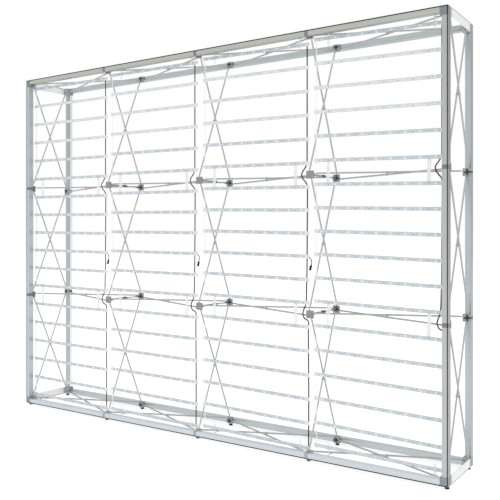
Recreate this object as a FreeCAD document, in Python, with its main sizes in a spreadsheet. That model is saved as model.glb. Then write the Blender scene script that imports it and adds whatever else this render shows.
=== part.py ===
import FreeCAD, Part
import math
import os
import Sketcher
from FreeCAD import Matrix, Placement, Rotation, Vector

# Pop-up lightbox display wall: a scissor-rod grid of hubs carries a grooved
# channel frame front and rear, curtains of light strips hang inside it.
# X runs along the wall, Y from front (-) to rear (+), Z up, floor at Z = 0.

doc = FreeCAD.newDocument("lightbox_display_wall")
sheet = doc.addObject("Spreadsheet::Sheet", "dims")


class Dim:
    """A sheet expression and its number, kept together."""

    def __init__(self, text, value):
        self.text = text
        self.value = float(value)

    def __add__(self, other):
        other = as_dim(other)
        return Dim("(%s + %s)" % (self.text, other.text), self.value + other.value)

    __radd__ = __add__

    def __sub__(self, other):
        other = as_dim(other)
        return Dim("(%s - %s)" % (self.text, other.text), self.value - other.value)

    def __rsub__(self, other):
        return as_dim(other) - self

    def __mul__(self, other):
        other = as_dim(other)
        return Dim("(%s * %s)" % (self.text, other.text), self.value * other.value)

    __rmul__ = __mul__

    def __neg__(self):
        return 0 - self


def as_dim(x):
    return x if isinstance(x, Dim) else Dim("%.6g" % x, x)


def val(x):
    return x.value if isinstance(x, Dim) else float(x)


row_no = [0]


def dim(alias, value, note):
    row_no[0] += 1
    r = row_no[0]
    sheet.set("A%d" % r, note)
    sheet.set("B%d" % r, str(value))
    sheet.setAlias("B%d" % r, alias)
    return Dim("dims." + alias, value)


# ---------------------------------------------------------------- dimensions
COLS = 4
ROWS = 3
cell = dim("cell", 731, "pitch of the hub grid")
base_z = dim("base_height", 30, "height of the lowest hub row")
edge = dim("edge_out", 15, "channel half width")
deep = dim("half_depth", 195, "half of the overall depth")
bar_deep = dim("bar_deep", 36, "channel depth")
wall = dim("bar_wall", 1.5, "channel wall thickness")
groove = dim("groove_width", 4.5, "edging groove width")
groove_deep = dim("groove_deep", 14, "edging groove depth")
tab = dim("tab_half", 10, "half width of a hub tab between two channels")
corner_w = dim("corner_width", 40, "corner block along the wall")
corner_h = dim("corner_height", 45, "corner block height")
corner_back = dim("corner_back", 139.5, "corner block rear face")
face = dim("hub_face", 157.5, "hub plate front face")
plate_t = dim("plate_thick", 11.5, "hub plate thickness")
plate_h = dim("plate_half", 20.5, "hub plate half width")
pin_y = dim("pin_depth", 151, "rod pin plane")
pin_off = dim("pin_offset", 12, "rod pin from the hub centre")
rod_off = dim("rod_offset", 6, "rod from the hub plane")
rod_r = dim("rod_radius", 4.5, "rod radius")
eye_r = dim("eye_radius", 3.6, "rod end radius")
level_in = dim("level_inset", 11, "level rods of the top and bottom rows, towards the middle")
tongue = dim("tongue_half", 2.5, "half thickness of a rod end")
slot_h = dim("slot_half", 2.7, "half width of a hub slot")
pin_r = dim("pin_radius", 1.5, "rod pin radius")
rivet_r = dim("rivet_radius", 2, "scissor rivet radius")
arm_y = dim("arm_pivot", 123, "lock arm pivot depth")
arm_pin = dim("arm_pin_radius", 2, "lock arm pin radius")
foot_y = dim("foot_depth", 165, "foot axis depth")
foot_r = dim("foot_radius", 11, "foot disc radius")
stem_r = dim("stem_radius", 4, "foot stem radius")
strip_y = dim("strip_front", 143, "light strip front face")
strip_t = dim("strip_thick", 2, "light strip thickness")
strip_h = dim("strip_half", 9, "light strip half height")
lens_r = dim("lens_radius", 7.5, "lens radius")
wire_r = dim("wire_radius", 1.7, "curtain wire radius")
wire_gap = dim("wire_half_gap", 1.9, "half spacing of the wire pair")
lead_r = dim("lead_radius", 2.5, "connector lead radius")
doc.recompute()

LENSES = 9
STRIPS = 6
LENS_PITCH = 76.0
C = val(cell)
colx = [(i - COLS / 2.0) * C for i in range(COLS + 1)]
rowz = [val(base_z) + j * C for j in range(ROWS + 1)]


# ------------------------------------------------------------- small helpers
def box(name, x0, x1, y0, y1, z0, z1):
    b = doc.addObject("Part::Box", name)
    x0, x1, y0, y1, z0, z1 = [as_dim(v) for v in (x0, x1, y0, y1, z0, z1)]
    for prop, d in (("Length", x1 - x0), ("Width", y1 - y0), ("Height", z1 - z0),
                    ("Placement.Base.x", x0), ("Placement.Base.y", y0), ("Placement.Base.z", z0)):
        b.setExpression(prop, d.text)
    return b


AXES = {"x": Rotation(Vector(0, 1, 0), 90), "y": Rotation(Vector(1, 0, 0), -90), "z": Rotation()}


def rod(name, axis, x, y, z, radius, length):
    c = doc.addObject("Part::Cylinder", name)
    c.Placement = Placement(Vector(0, 0, 0), AXES[axis])
    for prop, d in (("Radius", radius), ("Height", length),
                    ("Placement.Base.x", x), ("Placement.Base.y", y), ("Placement.Base.z", z)):
        c.setExpression(prop, as_dim(d).text)
    return c


def fuse(name, parts):
    f = doc.addObject("Part::MultiFuse", name)
    f.Shapes = parts
    return f


def cut(name, base, tools):
    c = doc.addObject("Part::Cut", name)
    c.Base = base
    c.Tool = tools[0] if len(tools) == 1 else fuse(name + "_tools", tools)
    return c


def bevel(name, base, size):
    doc.recompute()
    ch = doc.addObject("Part::Chamfer", name)
    ch.Base = base
    ch.Edges = [(k + 1, size, size) for k in range(len(base.Shape.Edges))]
    return ch


def outline(sk, pts):
    first = sk.GeometryCount
    n = len(pts)
    for k in range(n):
        a, b = pts[k], pts[(k + 1) % n]
        sk.addGeometry(Part.LineSegment(Vector(val(a[0]), val(a[1]), 0), Vector(val(b[0]), val(b[1]), 0)), False)
    for k in range(n):
        sk.addConstraint(Sketcher.Constraint("Coincident", first + k, 2, first + (k + 1) % n, 1))
    for k in range(n):
        for kind, d, axis in (("DistanceX", pts[k][0], -2), ("DistanceY", pts[k][1], -1)):
            d = as_dim(d)
            if d.value == 0:
                sk.addConstraint(Sketcher.Constraint("PointOnObject", first + k, 1, axis))
                continue
            c = sk.addConstraint(Sketcher.Constraint(kind, -1, 1, first + k, 1, d.value))
            sk.setExpression("Constraints[%d]" % c, d.text)


def plane(body, role):
    return [f for f in body.Origin.OriginFeatures if f.Role == role][0]


def new_sketch(body, name, role):
    sk = body.newObject("Sketcher::SketchObject", name)
    sk.AttachmentSupport = [(plane(body, role), "")]
    sk.MapMode = "FlatFace"
    return sk


def frame_of(ex, ez, at):
    """Placement that turns local X to ex and local Z to ez."""
    ex = Vector(ex)
    ez = Vector(ez)
    ex.normalize()
    ez.normalize()
    ey = ez.cross(ex)
    m = Matrix(ex.x, ey.x, ez.x, at[0], ex.y, ey.y, ez.y, at[1], ex.z, ey.z, ez.z, at[2], 0, 0, 0, 1)
    return Placement(m)


def placed(shape, place):
    s = shape.copy()
    s.Placement = place.multiply(s.Placement)
    return s


HALF_TURN = Placement(Vector(0, 0, 0), Rotation(Vector(0, 0, 1), 180))


def moved(shape, x, y, z):
    return placed(shape, Placement(Vector(x, y, z), Rotation()))


nodes = []


def node(label, shapes):
    f = doc.addObject("Part::Feature", label)
    f.Label = label
    f.Shape = shapes[0] if len(shapes) == 1 else Part.makeCompound(shapes)
    f.Placement = Placement()
    nodes.append(f)
    return f


def one(label, shape, place):
    f = doc.addObject("Part::Feature", label)
    f.Label = label
    f.Shape = shape.copy()
    f.Placement = place
    nodes.append(f)
    return f


# ------------------------------------------------------------ channel section
# Local X points out of the frame, local Y to the front, the bar runs along Z.
def channel(name, length):
    body = doc.addObject("PartDesign::Body", name)
    sk = new_sketch(body, name + "_section", "XY_Plane")
    half = bar_deep * 0.5
    lip = edge - wall
    outline(sk, [(-edge, -half), (edge, -half), (edge, half), (lip, half), (lip, half - groove_deep),
                 (lip - groove, half - groove_deep), (lip - groove, half), (-edge, half)])
    web = lip - groove - wall
    outline(sk, [(wall - edge, wall - half), (web, wall - half), (web, half - wall), (wall - edge, half - wall)])
    outline(sk, [(web + wall, wall - half), (lip, wall - half), (lip, half - groove_deep - wall),
                 (web + wall, half - groove_deep - wall)])
    pad = body.newObject("PartDesign::Pad", name + "_run")
    pad.Profile = sk
    pad.setExpression("Length", length.text)
    body.Tip = pad
    return body


bar_mid = channel("channel_mid", cell - 2 * tab)
bar_end = channel("channel_end", cell - corner_w + edge - tab)
bar_post = channel("channel_post", cell - corner_h + edge - tab)


# ------------------------------------------------------------------ scissor rod
def scissor_rod(name):
    run = math.hypot(val(cell) - 2 * val(pin_off), 2 * val(pin_y))
    span = dim("rod_length", run, "rod, pin to pin")
    body = rod(name + "_tube", "z", 0, 0, 22.5, rod_r, span - 45)
    ends = []
    for k, z in enumerate((0, span)):
        ends.append(rod(name + "_eye%d" % k, "x", -tongue, 0, z, eye_r, 2 * tongue))
    ends.append(box(name + "_flat0", -tongue, tongue, -eye_r, eye_r, 0, 25.5))
    ends.append(box(name + "_flat1", -tongue, tongue, -eye_r, eye_r, span - 25.5, span))
    holes = [rod(name + "_hole0", "x", -6, 0, 0, pin_r + 0.08, 12),
             rod(name + "_hole1", "x", -6, 0, span, pin_r + 0.08, 12),
             rod(name + "_hole2", "x", -6, 0, span * 0.5, rivet_r + 0.08, 12)]
    return cut(name, fuse(name + "_whole", [body] + ends), holes), run


rod_master, rod_span = scissor_rod("scissor_rod")

# rivet with its two heads and the washer between the rods
rivet = fuse("rivet", [rod("rivet_shank", "x", -rod_off - rod_r - 1, 0, 0, rivet_r, 2 * rod_off + 2 * rod_r + 2),
                       rod("rivet_head0", "x", -rod_off - rod_r - 1.9, 0, 0, 3.6, 1.7),
                       rod("rivet_head1", "x", rod_off + rod_r + 0.2, 0, 0, 3.6, 1.7),
                       rod("rivet_washer", "x", 0.1 + rod_r - rod_off, 0, 0, 3.8, 2 * rod_off - 2 * rod_r - 0.2)])


# ------------------------------------------------------------------------ hubs
# A hub is drawn about its grid point, at its true depth on the front side.
FULL = {"x0": -17, "x1": 17, "z0": -17, "z1": 17}


def hub(name, shells, dirs, lim, arm, foot, shift=0.0, grooves=()):
    """shells: bevelled boxes; dirs: rods that leave; lim: pin bounds; shift: height of the level rods."""
    solids = list(shells)
    cuts = list(grooves)
    pins = []
    s0, s1 = -pin_y - 4.3, 1 - corner_back
    near = 7.7
    far = 40
    hole = pin_r + 0.05
    py, po, up = val(pin_y), val(pin_off), val(shift)
    if "up" in dirs:
        cuts.append(box(name + "_slot_up", -rod_off - slot_h, slot_h - rod_off, s0, s1, near, far))
        cuts.append(rod(name + "_hole_up", "x", lim["x0"] - 1, -pin_y, pin_off, hole, 2 - lim["x0"]))
        pins.append(("x", lim["x0"] + 0.3, -py, po, 0.7 - lim["x0"]))
    if "down" in dirs:
        cuts.append(box(name + "_slot_down", rod_off - slot_h, rod_off + slot_h, s0, s1, -far, -near))
        cuts.append(rod(name + "_hole_down", "x", -1, -pin_y, -pin_off, hole, lim["x1"] + 2))
        pins.append(("x", -1, -py, -po, lim["x1"] + 0.7))
    if "right" in dirs:
        end = min(lim["z1"], up + 17)
        cuts.append(box(name + "_slot_right", near, far, s0, s1, shift + rod_off - slot_h, shift + rod_off + slot_h))
        cuts.append(rod(name + "_hole_right", "z", pin_off, -pin_y, shift - 1, hole, end + 2 - up))
        pins.append(("z", po, -py, up - 1, end + 0.7 - up))
    if "left" in dirs:
        end = max(lim["z0"], up - 17)
        cuts.append(box(name + "_slot_left", -far, -near, s0, s1, shift - rod_off - slot_h, shift - rod_off + slot_h))
        cuts.append(rod(name + "_hole_left", "z", -pin_off, -pin_y, end - 1, hole, up + 2 - end))
        pins.append(("z", -po, -py, end + 0.3, up + 0.7 - end))
    arm_pins = []
    if arm:
        solids.append(box(name + "_fork", -7.2, 7.2, plate_t - face - 1, -arm_y + 7, -7.2, 7.2))
        cuts.append(box(name + "_fork_gap", -4.4, 4.4, -arm_y - 6.5, -arm_y + 8, -9, 9))
        cuts.append(rod(name + "_fork_hole", "x", -9, -arm_y, 0, arm_pin + 0.05, 18))
        arm_pins.append(("x", -7.0, -val(arm_y), 0, 14.0))
    if foot:
        cuts.append(rod(name + "_foot_hole", "z", 0, -foot_y, -edge - 1, stem_r + 0.08, 20))
    return {"obj": cut(name, fuse(name + "_whole", solids), cuts), "pins": pins, "arm_pins": arm_pins}


def shell(name, x0, x1, y0, y1, z0, z1, size):
    return bevel(name, box(name + "_raw", x0, x1, y0, y1, z0, z1), size)


y_front = -deep
y_bar = bar_deep - deep
t_in = 12          # tenon reach into a channel
u0, u1 = 0.5 + wall - edge, edge - 2 * wall - groove - 0.5
v0, v1 = y_front + wall + 0.5, y_bar - wall - 0.5


def tenon(name, side, lo, hi):
    """A tenon that plugs a channel of that side between lo and hi."""
    if side == "top":
        return box(name, lo, hi, v0, v1, u0, u1)
    if side == "bottom":
        return box(name, lo, hi, v0, v1, -u1, -u0)
    if side == "left":
        return box(name, -u1, -u0, v0, v1, lo, hi)
    return box(name, u0, u1, v0, v1, lo, hi)


g0, g1 = edge - wall - groove, edge - wall
gy0, gy1 = y_front - 1, y_front + groove_deep


def run_x(name, x0, x1, up):
    """Edging groove along the wall, on the top or the bottom side."""
    return box(name, x0, x1, gy0, gy1, g0 if up else -g1, g1 if up else -g0)


def run_z(name, z0, z1, right):
    """Edging groove up the wall, on the right or the left side."""
    return box(name, g0 if right else -g1, g1 if right else -g0, gy0, gy1, z0, z1)


hubs = {}
hubs["inner"] = hub("hub_inner", [shell("hub_inner_plate", -plate_h, plate_h, -face, plate_t - face, -plate_h, plate_h, 1.5)],
                    ("up", "down", "left", "right"), FULL, True, False, as_dim(0))
body_b = plate_t - face
hubs["top"] = hub("hub_top", [
    shell("hub_top_tab", -tab, tab, y_front, y_bar + 2, -edge, edge, 1.0),
    shell("hub_top_body", -19.5, 19.5, y_bar, body_b, -24, edge, 1.5),
    tenon("hub_top_tenon", "top", -tab - t_in, tab + t_in)],
    ("down", "left", "right"), dict(FULL, z0=-24, z1=15), False, False, -level_in,
    [run_x("hub_top_groove", -tab - 1, tab + 1, True)])
hubs["bottom"] = hub("hub_bottom", [
    shell("hub_bottom_tab", -tab, tab, y_front, y_bar + 2, -edge, edge, 1.0),
    shell("hub_bottom_body", -19.5, 19.5, y_bar, body_b, -edge, 24, 1.5),
    tenon("hub_bottom_tenon", "bottom", -tab - t_in, tab + t_in)],
    ("up", "left", "right"), dict(FULL, z0=-15, z1=24), False, True, level_in,
    [run_x("hub_bottom_groove", -tab - 1, tab + 1, False)])
hubs["left"] = hub("hub_left", [
    shell("hub_left_tab", -edge, edge, y_front, y_bar + 2, -tab, tab, 1.0),
    shell("hub_left_body", -edge, 24, y_bar, body_b, -19.5, 19.5, 1.5),
    tenon("hub_left_tenon", "left", -tab - t_in, tab + t_in)],
    ("up", "down", "right"), dict(FULL, x0=-15), False, False, as_dim(0),
    [run_z("hub_left_groove", -tab - 1, tab + 1, False)])
hubs["right"] = hub("hub_right", [
    shell("hub_right_tab", -edge, edge, y_front, y_bar + 2, -tab, tab, 1.0),
    shell("hub_right_body", -24, edge, y_bar, body_b, -19.5, 19.5, 1.5),
    tenon("hub_right_tenon", "right", -tab - t_in, tab + t_in)],
    ("up", "down", "left"), dict(FULL, x1=15), False, False, as_dim(0),
    [run_z("hub_right_groove", -tab - 1, tab + 1, True)])
for sx, sz in ((-1, 1), (1, 1), (-1, -1), (1, -1)):
    key = ("top" if sz > 0 else "bottom") + ("_left" if sx < 0 else "_right")
    nm = "corner_" + key
    x0, x1 = (-edge, corner_w - edge) if sx < 0 else (edge - corner_w, edge)
    z0, z1 = (edge - corner_h, edge) if sz > 0 else (-edge, corner_h - edge)
    level = (x1 - 1, x1 + t_in) if sx < 0 else (x0 - t_in, x0 + 1)
    post = (z0 - t_in, z0 + 1) if sz > 0 else (z1 - 1, z1 + t_in)
    shells = [shell(nm + "_block", x0, x1, y_front, -corner_back, z0, z1, 1.5),
              tenon(nm + "_level", "top" if sz > 0 else "bottom", level[0], level[1]),
              tenon(nm + "_post", "left" if sx < 0 else "right", post[0], post[1])]
    lim = dict(FULL)
    lim["x0" if sx < 0 else "x1"] = 11.5 * sx
    lim["z1" if sz > 0 else "z0"] = 14 * sz
    lim["z0" if sz > 0 else "z1"] = -30 * sz
    grooves = [run_x(nm + "_groove_x", -g1 if sx < 0 else x0 - 1, x1 + 1 if sx < 0 else g1, sz > 0),
               run_z(nm + "_groove_z", z0 - 1 if sz > 0 else -g1, g1 if sz > 0 else z1 + 1, sx > 0)]
    hubs[key] = hub(nm, shells, ("down" if sz > 0 else "up", "right" if sx < 0 else "left"), lim, False, sz < 0,
                    -level_in if sz > 0 else level_in, grooves)
    # dowel holes for the end panel, in the rear face of the block
    raw = hubs[key]["obj"]
    dx = -edge + 1.5 if sx < 0 else edge - 1.5
    hubs[key]["obj"] = cut(nm + "_drilled", raw, [
        rod(nm + "_dowel0", "y", dx, -corner_back - 8, (z0 + z1) * 0.5 - 12, 0.85, 10),
        rod(nm + "_dowel1", "y", dx, -corner_back - 8, (z0 + z1) * 0.5 + 12, 0.85, 10)])

# ------------------------------------------------------------------- lock arms
# Front arm: a bar that ends in a fork with two notches over the peg.
arm_front = cut("arm_front", fuse("arm_front_whole", [
    rod("arm_front_eye", "x", -4, -arm_y, 0, 5, 8),
    box("arm_front_bar", -4, 4, -arm_y, -13, -5, 5),
    shell("arm_front_head", -8, 8, -14, 8, -6, 8, 0.8)]), [
    rod("arm_front_hole", "x", -6, -arm_y, 0, arm_pin + 0.1, 12),
    box("arm_front_gap", -3.4, 3.4, -8, 9, -7, 9),
    box("arm_front_notch", -9, 9, -2.9, 2.9, -7, 0),
    rod("arm_front_seat", "x", -9, 0, 0, 2.9, 18)])
# Rear arm: a slimmer bar with the cross peg near its tip.
arm_rear = cut("arm_rear", fuse("arm_rear_whole", [
    rod("arm_rear_eye", "x", -4, arm_y, 0, 5, 8),
    box("arm_rear_root", -4, 4, arm_y - 24, arm_y, -5, 5),
    box("arm_rear_bar", -3, 3, -6, arm_y - 23, -3, 3),
    rod("arm_rear_peg", "x", -7, 0, 0, 2.5, 14)]), [
    rod("arm_rear_hole", "x", -6, arm_y, 0, arm_pin + 0.1, 12)])

# ------------------------------------------------------------------------ feet
foot_body = doc.addObject("PartDesign::Body", "foot_master")
fs = new_sketch(foot_body, "foot_profile", "XZ_Plane")
neck = base_z - edge - 0.3
foot_pts = [(0, 0), (foot_r - 1.2, 0), (foot_r, 1.2), (foot_r, 6.4), (foot_r - 1.5, 7.6), (7, 8.2), (7, neck),
            (stem_r, neck), (stem_r, neck + 16), (stem_r - 1, neck + 17), (0, neck + 17)]
outline(fs, [(a, b) for a, b in foot_pts])
rev = foot_body.newObject("PartDesign::Revolution", "foot_turned")
rev.Profile = fs
rev.ReferenceAxis = (fs, ["V_Axis"])
rev.Angle = 360
foot_body.Tip = rev

# --------------------------------------------------------- strips and fittings
# Drawn about the left column line of a bay and the strip's own height.
strip_l, strip_r = 24, 11
strip = box("strip_master", strip_l, cell - strip_r, -strip_y, strip_t - strip_y, -strip_h, strip_h)
lens = fuse("lens_master", [rod("lens_flange", "y", 0, -strip_y - 1.2, 0, lens_r, 1.2)])
lens_dome = doc.addObject("Part::Cone", "lens_dome")
lens_dome.Placement = Placement(Vector(0, 0, 0), Rotation(Vector(1, 0, 0), 90))
lens_dome.setExpression("Radius1", (lens_r - 1.3).text)
lens_dome.setExpression("Radius2", (lens_r - 4).text)
lens_dome.setExpression("Height", as_dim(2.4).text)
lens_dome.setExpression("Placement.Base.y", (-strip_y - 1.1).text)
lens.Shapes = [doc.getObject("lens_flange"), lens_dome]
hold_f, hold_b = strip_y + 1.5, strip_y - strip_t - 1.5
holder_l = cut("holder_left_master", shell("holder_left_raw", 22, 46, -hold_f, -hold_b, -10, 10, 0.6),
               [box("holder_left_slot", strip_l, 48, -strip_y - 0.1, strip_t - strip_y + 0.1, -strip_h - 0.1, strip_h + 0.1)])
holder_r = cut("holder_right_master", shell("holder_right_raw", cell - 35, cell - 9, -hold_f, -hold_b, -10, 10, 0.6),
               [box("holder_right_slot", cell - 37, cell - strip_r, -strip_y - 0.1, strip_t - strip_y + 0.1,
                    -strip_h - 0.1, strip_h + 0.1)])
straps = [box("strap_master_%d" % k, 30, 38, -hold_b, 0.8 - hold_b, lo, cell - hi)
          for k, (lo, hi) in enumerate(((36, 50), (50, 50), (50, 36)))]
clip_b = strip_y - strip_t
clip = fuse("clip_master", [shell("clip_plate", -10, 10, -clip_b, 1.5 - clip_b, -68, 68, 0.4),
                            box("clip_rib0", -6.5, -5, -clip_b - 1.4, 0.5 - clip_b, -50, 50),
                            box("clip_rib1", 5, 6.5, -clip_b - 1.4, 0.5 - clip_b, -50, 50)])


def hook(name, rod_y, rod_z):
    """A bent plate from a strip up to and over a level rod."""
    top = rod_z + val(rod_r) + 0.3
    back = rod_y + 8.2
    return fuse(name, [box(name + "_plate", -8, 8, -clip_b, 1.5 - clip_b, -68, top + 1.8),
                       box(name + "_over", -8, 8, -clip_b, back + 1.8, top, top + 1.8),
                       box(name + "_lip", -8, 8, back, back + 1.8, rod_z - 3, top + 1.8)])


slope = 2 * val(pin_y) / (C - 2 * val(pin_off))
HOOK_L, HOOK_R, CLIP_R = 103.0, 66.0, 92.0
hook_yl = -val(pin_y) + (HOOK_L - val(pin_off)) * slope
hook_yr = -val(pin_y) + (HOOK_R - val(pin_off)) * slope
hook_hi, hook_lo = val(rod_off) - val(level_in), -val(rod_off) - val(level_in)
hook_l = hook("hook_left_master", hook_yl, hook_hi)
hook_r = hook("hook_right_master", hook_yr, hook_lo)
hook_l2 = hook("hook_left_low", hook_yl, hook_lo)
hook_r2 = hook("hook_right_low", hook_yr, hook_hi)

# -------------------------------------------------------------- end panels
panel_t = 3
panel = cut("panel_master", shell("panel_raw", edge - panel_t, edge, -corner_back, corner_back, -corner_h * 0.5, corner_h * 0.5, 0.6), [
    rod("panel_hole%d" % k, "y", edge - 1.5, y, z, 0.85, 10)
    for k, (y, z) in enumerate(((-corner_back - 1, -12), (-corner_back - 1, 12), (corner_back - 9, -12), (corner_back - 9, 12)))])
dowel = rod("dowel_master", "y", 0, 0, 0, 0.8, 14)

doc.recompute()

# ============================================================ nodes: the frame
zl, zh = rowz[0], rowz[-1]
ym = -val(deep) + val(bar_deep) / 2.0
TOP = ((0, 0, 1), (1, 0, 0))
BOT = ((0, 0, -1), (-1, 0, 0))
LEF = ((-1, 0, 0), (0, 0, 1))
RIG = ((1, 0, 0), (0, 0, -1))


def bars_level(side, z):
    out = []
    for i in range(COLS):
        a = colx[i] + (val(corner_w) - val(edge) if i == 0 else val(tab))
        b = colx[i + 1] - (val(corner_w) - val(edge) if i == COLS - 1 else val(tab))
        m = bar_end if i in (0, COLS - 1) else bar_mid
        out.append(placed(m.Shape, frame_of(side[0], side[1], (a if side is TOP else b, ym, z))))
    return out


def bars_post(side, x):
    out = []
    for j in range(ROWS):
        a = rowz[j] + (val(corner_h) - val(edge) if j == 0 else val(tab))
        b = rowz[j + 1] - (val(corner_h) - val(edge) if j == ROWS - 1 else val(tab))
        m = bar_post if j in (0, ROWS - 1) else bar_mid
        out.append(placed(m.Shape, frame_of(side[0], side[1], (x, ym, a if side is LEF else b))))
    return out


def rear(shapes):
    return [placed(s, HALF_TURN) for s in shapes]


top_bars = bars_level(TOP, zh)
low_bars = bars_level(BOT, zl)
side_bars = bars_post(LEF, colx[0]) + bars_post(RIG, colx[-1])
node("front_top_bars", top_bars)
node("front_bottom_bars", low_bars)
node("front_side_bars", side_bars)
node("rear_top_bars", rear(top_bars))
node("rear_bottom_bars", rear(low_bars))
node("rear_side_bars", rear(side_bars))

pins = []


def pin_solid(p, x, z, r):
    axis, px, py, pz, ln = p
    s = Part.makeCylinder(r, ln, Vector(x + px, py, z + pz), Vector(1, 0, 0) if axis == "x" else Vector(0, 0, 1))
    return s


def hub_at(key, x, z):
    h = hubs[key]
    for p in h["pins"]:
        pins.append(pin_solid(p, x, z, val(pin_r)))
    for p in h["arm_pins"]:
        pins.append(pin_solid(p, x, z, val(arm_pin)))
    return moved(h["obj"].Shape, x, 0, z)


corner_set, edge_set, inner_set = [], [], []
for i, x in enumerate(colx):
    for j, z in enumerate(rowz):
        lr = "left" if i == 0 else "right" if i == COLS else ""
        tb = "bottom" if j == 0 else "top" if j == ROWS else ""
        if lr and tb:
            corner_set.append(hub_at(tb + "_" + lr, x, z))
        elif lr or tb:
            edge_set.append(hub_at(tb or lr, x, z))
        else:
            inner_set.append(hub_at("inner", x, z))
node("front_corner_hubs", corner_set)
node("rear_corner_hubs", rear(corner_set))
node("front_edge_hubs", edge_set)
node("rear_edge_hubs", rear(edge_set))
node("front_inner_hubs", inner_set)
node("rear_inner_hubs", rear(inner_set))
node("hub_pins", pins + rear(pins))

# --------------------------------------------------------------- scissor rods
py, po, ro = val(pin_y), val(pin_off), val(rod_off)
reach = C - 2 * po
rise, fall, out_rods, in_rods, rivets = [], [], [], [], []
X, Z = Vector(1, 0, 0), Vector(0, 0, 1)
for i, x in enumerate(colx):
    for j in range(ROWS):
        rise.append(placed(rod_master.Shape, frame_of(X, (0, 2 * py, reach), (x - ro, -py, rowz[j] + po))))
        fall.append(placed(rod_master.Shape, frame_of(X, (0, -2 * py, reach), (x + ro, py, rowz[j] + po))))
        rivets.append(placed(rivet.Shape, frame_of(X, Z, (x, 0, rowz[j] + C / 2.0))))
for j, z in enumerate(rowz):
    z += val(level_in) if j == 0 else -val(level_in) if j == ROWS else 0.0
    for i in range(COLS):
        out_rods.append(placed(rod_master.Shape, frame_of(Z, (reach, 2 * py, 0), (colx[i] + po, -py, z + ro))))
        in_rods.append(placed(rod_master.Shape, frame_of(Z, (reach, -2 * py, 0), (colx[i] + po, py, z - ro))))
        rivets.append(placed(rivet.Shape, frame_of(Z, X, (colx[i] + C / 2.0, 0, z))))
print("rod length", rod_span, "needed", math.hypot(reach, 2 * py))
node("upright_rods_rising", rise)
node("upright_rods_falling", fall)
node("level_rods_out", out_rods)
node("level_rods_in", in_rods)
node("scissor_rivets", rivets)

# ------------------------------------------------------------------ end panels
panels, dowels = [], []
for sx in (-1, 1):
    for z in (zl - val(edge) + val(corner_h) / 2.0, zh + val(edge) - val(corner_h) / 2.0):
        s = moved(panel.Shape, colx[-1], 0, z)
        panels.append(s if sx > 0 else placed(moved(panel.Shape, colx[-1], 0, z), HALF_TURN))
        for y in (-val(corner_back) - 7, val(corner_back) - 7):
            for dz in (-12, 12):
                d = moved(dowel.Shape, colx[-1] + val(edge) - 1.5, y, z + dz)
                dowels.append(d if sx > 0 else placed(d, HALF_TURN))
node("end_panels", panels)
node("panel_dowels", dowels)

# --------------------------------------------------- lock arms and feet (moving)
n = 0
for j in (2, 1):
    for i in (1, 2, 3):
        n += 1
        one("front_lock_arm_%d" % n, arm_front.Shape, Placement(Vector(colx[i], 0, rowz[j]), Rotation()))
        one("rear_lock_arm_%d" % n, arm_rear.Shape, Placement(Vector(colx[i], 0, rowz[j]), Rotation()))
for i, x in enumerate(colx):
    one("front_foot_%d" % (i + 1), foot_body.Shape, Placement(Vector(x, -val(foot_y), 0), Rotation()))
    one("rear_foot_%d" % (i + 1), foot_body.Shape, Placement(Vector(x, val(foot_y), 0), Rotation()))

# -------------------------------------------------------------- light curtains
# Each curtain hangs a little to one side and a little out of level, and the
# strips of the top and bottom bays are spread slightly wider than the middle.
pitch = C / STRIPS
HANG = [-11.0, -11.0, -2.0, -2.5]
LIFT = [-1.0, 3.0, 4.5, -0.5]
TILT = [7.0, 7.0, 14.0, 20.0]
LOWEST, TOPMOST, LOW_TILT = [37.5, 35.0, 33.5, 46.0], [44.0, 38.0, 38.0, 38.0], [7.0, 7.0, 14.0, 10.0]
TURN = C - strip_l - strip_r


def strip_heights(i):
    """Height of each strip's middle in one curtain, with its own slant."""
    out = [(rowz[0] + LOWEST[i], LOW_TILT[i])]
    out += [(rowz[1] - pitch / 2 - 5.7 - (pitch + 4.5) * (5 - k) + LIFT[i], TILT[i]) for k in range(1, STRIPS)]
    out += [(rowz[1] + pitch * (k + 0.5) + LIFT[i], TILT[i]) for k in range(STRIPS)]
    out += [(rowz[2] + pitch / 2 + 2.8 + (pitch + 4.1) * k + LIFT[i], TILT[i]) for k in range(STRIPS - 1)]
    return out + [(rowz[3] - TOPMOST[i], TILT[i])]


def hung(i, z, slant, x=0.0):
    """Placement of a curtain piece: the left end is higher by the slant."""
    mid = C / 2.0 + (strip_l - strip_r) / 2.0
    turn = Rotation(Vector(0, 1, 0), math.degrees(math.atan2(slant, TURN)))
    spin = Placement(Vector(0, 0, 0), turn, Vector(mid, 0, 0))
    return Placement(Vector(colx[i] + HANG[i], 0, z), Rotation()) * spin * Placement(Vector(x, 0, 0), Rotation())


lenses, holders, bands, clips, hooks = [], [], [], [], []
FLIP = Rotation(Vector(0, 1, 0), 180)
for i in range(COLS):
    heights = strip_heights(i)
    node("led_strips_%d" % (i + 1), [placed(strip.Shape, hung(i, z, t)) for z, t in heights])
    mid = (strip_l + C - strip_r) / 2.0
    for z, t in heights:
        for k in range(LENSES):
            lenses.append(placed(lens.Shape, hung(i, z, t, mid + (k - (LENSES - 1) / 2.0) * LENS_PITCH)))
        holders.append(placed(holder_l.Shape, hung(i, z, t)))
        holders.append(placed(holder_r.Shape, hung(i, z, t)))
    bands += [moved(b.Shape, colx[i] + HANG[i], 0, z) for b, z in zip(straps, rowz)]
    for z in rowz[1:-1]:
        clips.append(placed(clip.Shape, hung(i, z + LIFT[i], TILT[i], HOOK_L)))
        clips.append(placed(clip.Shape, hung(i, z + LIFT[i], TILT[i], C - CLIP_R)))
    a, b = colx[i] + HOOK_L, colx[i + 1] - HOOK_R
    hooks.append(moved(hook_l.Shape, a, 0, zh))
    hooks.append(moved(hook_r.Shape, b, 0, zh))
    hooks.append(placed(hook_l2.Shape, Placement(Vector(a, 0, zl), FLIP)))
    hooks.append(placed(hook_r2.Shape, Placement(Vector(b, 0, zl), FLIP)))
node("led_lenses", lenses)
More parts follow.
